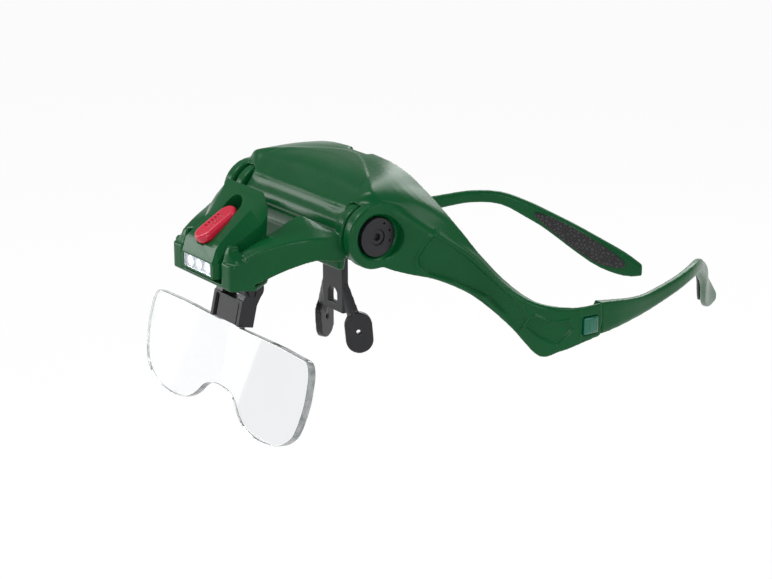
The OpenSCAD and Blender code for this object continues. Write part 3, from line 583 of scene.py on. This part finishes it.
def makeYoke():
    shell = joined([copyOf("yoke", "flipYoke"), makeLeaf(-1), makeLeaf(1)], "flipYoke")
    soften(shell, yoke["voxel"], yoke["rounds"])
    fit(shell, "flip_yoke", "yoke")


makeYoke()
print("yoke made")

# Temples, each with a pocket from X to X, in which the pressed release button finds room
temple = {"voxel": 0.4, "rounds": 8, "pocket": (66.9, 74)}


def makeTemple(side, node, name):
    piece = copyOf(node, name)
    soften(piece, temple["voxel"], temple["rounds"])
    low, high = [(x, y, z) for x, (_, y, z) in zip(temple["pocket"], brow["window"])]
    cutAway(piece, block(onSide(side, low), onSide(side, high)))
    fit(piece, "frame", node)


makeTemple(1, "temple_left", "templeLeft")
makeTemple(-1, "temple_right", "templeRight")

noseSupport = {"voxel": 0.3, "rounds": 4, "finish": "black_plastic"}


def makeNoseSupport():
    bracket = copyOf("nose_bracket", "noseBracket")
    soften(bracket, noseSupport["voxel"], noseSupport["rounds"])
    fit(bracket, "frame", "nose_bracket", noseSupport["finish"])


makeNoseSupport()
print("temples and nose support made")

# Release buttons: glossy cushions that swell out of their windows
button = {"voxel": 0.2, "rounds": 9, "middle": (63.5, -32.9), "half": (2.6, 2.5), "swell": 0.75, "skin": 0.8}


def makeButton(side, node, name, body):
    cushion = copyOf(node, name)
    soften(cushion, button["voxel"], button["rounds"])
    face = max(side * vertex.co.x for vertex in cushion.data.vertices)
    for vertex in cushion.data.vertices:
        if side * vertex.co.x > face - button["skin"] / 1000:
            offsets = [(v - m) / h for v, m, h in zip(drawn(vertex.co)[1:], button["middle"], button["half"])]
            crown = math.prod(max(1 - offset * offset, 0) for offset in offsets) ** 0.5
            vertex.co.x += side * button["swell"] / 1000 * crown
    fit(cushion, body, node)


makeButton(1, "release_button_left", "releaseButtonLeft", "button_left")
makeButton(-1, "release_button_right", "releaseButtonRight", "button_right")
print("release buttons made")

# Pieces with crisp faces and small rounded edges, in millimetres, some in a finish not their own
crispPieces = {
    "lampTray": {"node": "lamp_bottom_shell", "body": "lamp", "edge": 0.2},
    "batteryDoor": {"node": "battery_door", "body": "lamp", "edge": 0.12},
    "lensHolder": {"node": "lens_holder", "body": "lens_carrier", "edge": 0.25},
    "pivotScrew": {"node": "lens_pivot_screw", "body": "lens_carrier", "edge": 0.12,
                   "finish": "black_plastic"},
    "knobLeft": {"node": "knob_left", "body": "frame", "edge": 0.25},
    "knobRight": {"node": "knob_right", "body": "frame", "edge": 0.25},
    "hingeScrewLeft": {"node": "hinge_screw_left", "body": "frame", "edge": 0.12,
                       "finish": "black_plastic"},
    "hingeScrewRight": {"node": "hinge_screw_right", "body": "frame", "edge": 0.12,
                        "finish": "black_plastic"},
}
for name, piece in crispPieces.items():
    obj = copyOf(piece["node"], name)
    roundEdges(obj, piece["edge"])
    fit(obj, piece["body"], piece["node"], piece.get("finish"))
print("crisp pieces made")

# Lamp hood and its sliding switch, which lies in a long trough on the hood's slope
switch = {"start": (0, -26.8, -9), "slope": 30, "length": 15.2, "width": 6.8, "from": -0.9, "low": 0.1,
          "high": 3.1, "travel": 3, "clear": 0.35, "crown": 0.95, "crownSegments": 5, "crownAngle": 50,
          "sharp": 40, "roundVertices": 48,
          "bars": 5, "barPitch": 1.25, "barSize": (3.4, 0.5), "barDepth": 0.35}
hood = {"edge": 0.5, "segments": 3, "troughTop": 12}


def onSlope(obj):  # from a place along the slope to its place on the lamp
    obj.rotation_euler = (math.radians(switch["slope"]), 0, 0)
    obj.location = at(*switch["start"])
    activate(obj)
    applyPlace()
    return obj


def longOval(length, width, y0, low, high):
    middle = y0 + width / 2
    oval = primitive(bpy.ops.mesh.primitive_cylinder_add, vertices=switch["roundVertices"],
                     radius=width / 2000, depth=(high - low) / 1000,
                     location=(0, middle / 1000, (low + high) / 2000))
    for vertex in oval.data.vertices:
        if vertex.co.y * 1000 > middle:
            vertex.co.y += (length - width) / 1000
    return oval


def makeSwitch():
    slider = longOval(switch["length"], switch["width"], switch["from"], switch["low"], switch["high"])
    slider.name = "switchSlider"
    modify(slider, "BEVEL", width=switch["crown"] / 1000, segments=switch["crownSegments"],
           limit_method="ANGLE", angle_limit=math.radians(switch["crownAngle"]))
    middle = switch["from"] + switch["length"] / 2
    wide, thick = switch["barSize"]
    for k in range(switch["bars"]):
        y = middle + (k - (switch["bars"] - 1) / 2) * switch["barPitch"]
        cutAway(slider, primitive(
            bpy.ops.mesh.primitive_cube_add, size=1, location=(0, y / 1000, switch["high"] / 1000),
            scale=(wide / 1000, thick / 1000, 2 * switch["barDepth"] / 1000)))
    onSlope(slider)
    bpy.ops.object.shade_smooth_by_angle(angle=math.radians(switch["sharp"]))
    fit(slider, "switch", "switch_slider")


def makeHood():
    shell = copyOf("lamp_top_shell", "lampHood")
    clear = switch["clear"]
    trough = longOval(switch["length"] + switch["travel"] + 2 * clear, switch["width"] + 2 * clear,
                      switch["from"] - clear, 0, hood["troughTop"])
    cutAway(shell, onSlope(trough))
    roundEdges(shell, hood["edge"], hood["segments"])
    fit(shell, "lamp", "lamp_top_shell")


makeSwitch()
makeHood()
print("lamp and switch made")

# Lens: one clear plate whose front has two magnifying faces that meet in a faint line
lens = {
    "pivot": (0, -14, -23.9), "lean": 12.95, "frontFrom": 1.5, "hollow": 0.55, "half": 45, "edge": 0.3,
    # the rim's grey and darker blotches are painted shading for the light bent and reflected inside the
    # plate's edge
    "rimFacing": 0.5, "rimPaintedRefraction": {
        "colour": (0.8, 0.83, 0.84), "deeper": (0.42, 0.46, 0.48), "blotchSize": 330,
        "shader": {"Transmission Weight": 0.5, "IOR": 1.49}},
}


def makeLens():
    plate = copyOf("lens_plate", "lensPlate")
    editAll(plate, mergeFlat(), (bpy.ops.mesh.bisect, {"plane_co": (0, 0, 0), "plane_no": (1, 0, 0)}))
    lean = math.radians(lens["lean"])
    outward = Vector((0, -math.cos(lean), math.sin(lean)))  # out of the front face
    pivot = at(*lens["pivot"])
    for vertex in plate.data.vertices:
        if (vertex.co - pivot).dot(outward) * 1000 > lens["frontFrom"]:
            vertex.co -= outward * lens["hollow"] / 1000 * (1 - abs(vertex.co.x) * 1000 / lens["half"])
    roundEdges(plate, lens["edge"])
    places = [vertex.co for vertex in plate.data.vertices]
    for edge in plate.data.edges:  # the middle line stays sharp
        if all(abs(places[v].x) < 1e-6 for v in edge.vertices):
            edge.use_edge_sharp = True
    shadeByBigFaces(plate)
    fit(plate, "lens", "lens_plate")
    # The rim faces get a second finish: grey with darker blotches, painted shading that stands in for the
    # light bent and reflected inside the plate's edge
    rimPaintedRefraction = finishLooks["clear_acrylic"] | lens["rimPaintedRefraction"]
    plate.data.materials.append(mouldedFinish("clear_acrylic_edge_painted_refraction", rimPaintedRefraction))
    for face in plate.data.polygons:
        if abs(face.normal.dot(outward)) < lens["rimFacing"]:
            face.material_index = 1


makeLens()
print("lens made")

# Camera, at the photograph's viewing angle, fitted by the object's mirror symmetry
view = {"azimuth": 54.555, "elevation": 17.62, "place": (0.537117, -0.37377, 0.164692),
        "focalPixels": 2197.93, "widthPixels": 772, "sensor": 36}


def makeCamera():
    azimuth, elevation = math.radians(view["azimuth"]), math.radians(view["elevation"])
    flat = math.cos(elevation)
    backwards = Vector((flat * math.sin(azimuth), -flat * math.cos(azimuth), math.sin(elevation)))
    bpy.ops.object.camera_add(location=view["place"], rotation=backwards.to_track_quat("Z", "Y").to_euler())
    camera = bpy.context.object
    camera.data.sensor_width = view["sensor"]
    camera.data.lens = view["sensor"] * view["focalPixels"] / view["widthPixels"]
    camera.data.clip_end = 100
    scene.camera = camera


# Soft studio light: panels that shine at the middle, each with the direction it stands in, its distance,
# width and height, and power. The world's shade lights the object, and its gloss is what shines in it.
studio = {
    "middle": (0, 0.02, -0.03),
    "panels": [
        ((-0.52, -0.38, 0.77), 1.3, (0.45, 0.45), 5.5),
        ((-0.5, 0.7, 0.51), 1.3, (0.65, 0.65), 6.5),
        ((0.75, -0.62, 0.25), 1.6, (0.35, 0.35), 4.5),
        ((-0.82, -0.563, -0.103), 1.35, (0.164, 0.32), 0.3),  # it draws the lens's middle line
        ((-0.77, -0.6, 0.22), 1.3, (0.3, 0.42), 3.2),
        ((0.58, 0.42, 0.7), 1.3, (0.7, 0.5), 3.6),
    ],
    "shade": 0.5, "glossLow": 1.0, "glossHigh": 0.3, "glossRise": 0.5,
}


def makeLights():
    for direction, distance, size, power in studio["panels"]:
        aim = Vector(direction).normalized()
        bpy.ops.object.light_add(type="AREA", location=Vector(studio["middle"]) + aim * distance,
                                 rotation=aim.to_track_quat("Z", "Y").to_euler())
        panel = bpy.context.object.data
        panel.shape, panel.size, panel.size_y, panel.energy = "RECTANGLE", *size, power


def seenDirectly(tree, path):  # by the camera, or by it through glass
    return maths(tree, "MAXIMUM", path["Is Camera Ray"], path["Is Transmission Ray"])


def makeWorld():
    world = bpy.data.worlds.new("studio")
    scene.world = world
    world.use_nodes = True
    tree = world.node_tree
    path = addNode(tree, "LightPath").outputs
    direction = addNode(tree, "TexCoord").outputs["Generated"]
    height = addNode(tree, "SeparateXYZ", {"Vector": direction}).outputs["Z"]
    gloss = smoothRange(tree, height, 0, studio["glossRise"],
                        **{"To Min": studio["glossLow"], "To Max": studio["glossHigh"]})
    unseen = mixValues(tree, path["Is Glossy Ray"], studio["shade"], gloss)
    background = tree.nodes["Background"]
    background.inputs["Color"].default_value = (1, 1, 1, 1)
    tree.links.new(mixValues(tree, seenDirectly(tree, path), unseen, 1.0), background.inputs["Strength"])


# Pale floor, far below, so that the object stands clear of its own soft shadow
floor = {"size": 24, "height": -0.38, "colour": (0.9, 0.9, 0.9, 1), "roughness": 0.9, "glow": 0.93}


def makeFloor():
    sheet = primitive(bpy.ops.mesh.primitive_plane_add, size=floor["size"], location=(0, 0, floor["height"]))
    sheet.name = "paleFloor"
    paper = bpy.data.materials.new("floorPaper")
    paper.use_nodes = True
    tree = paper.node_tree
    shader = tree.nodes["Principled BSDF"]
    shader.inputs["Base Color"].default_value = floor["colour"]
    shader.inputs["Roughness"].default_value = floor["roughness"]
    path = addNode(tree, "LightPath").outputs
    seen = maths(tree, "MAXIMUM", seenDirectly(tree, path), path["Is Glossy Ray"])
    glow = addNode(tree, "Emission", {"Color": (1, 1, 1, 1), "Strength": 1.0})
    share = maths(tree, "MULTIPLY", seen, floor["glow"])
    mixed = addNode(tree, "MixShader", {0: share, 1: shader.outputs[0], 2: glow.outputs[0]})
    tree.links.new(mixed.outputs[0], tree.nodes["Material Output"].inputs["Surface"])
    sheet.data.materials.append(paper)


makeCamera()
makeLights()
makeWorld()
makeFloor()
scene.view_settings.view_transform = "Standard"
print("stage, light and camera made")
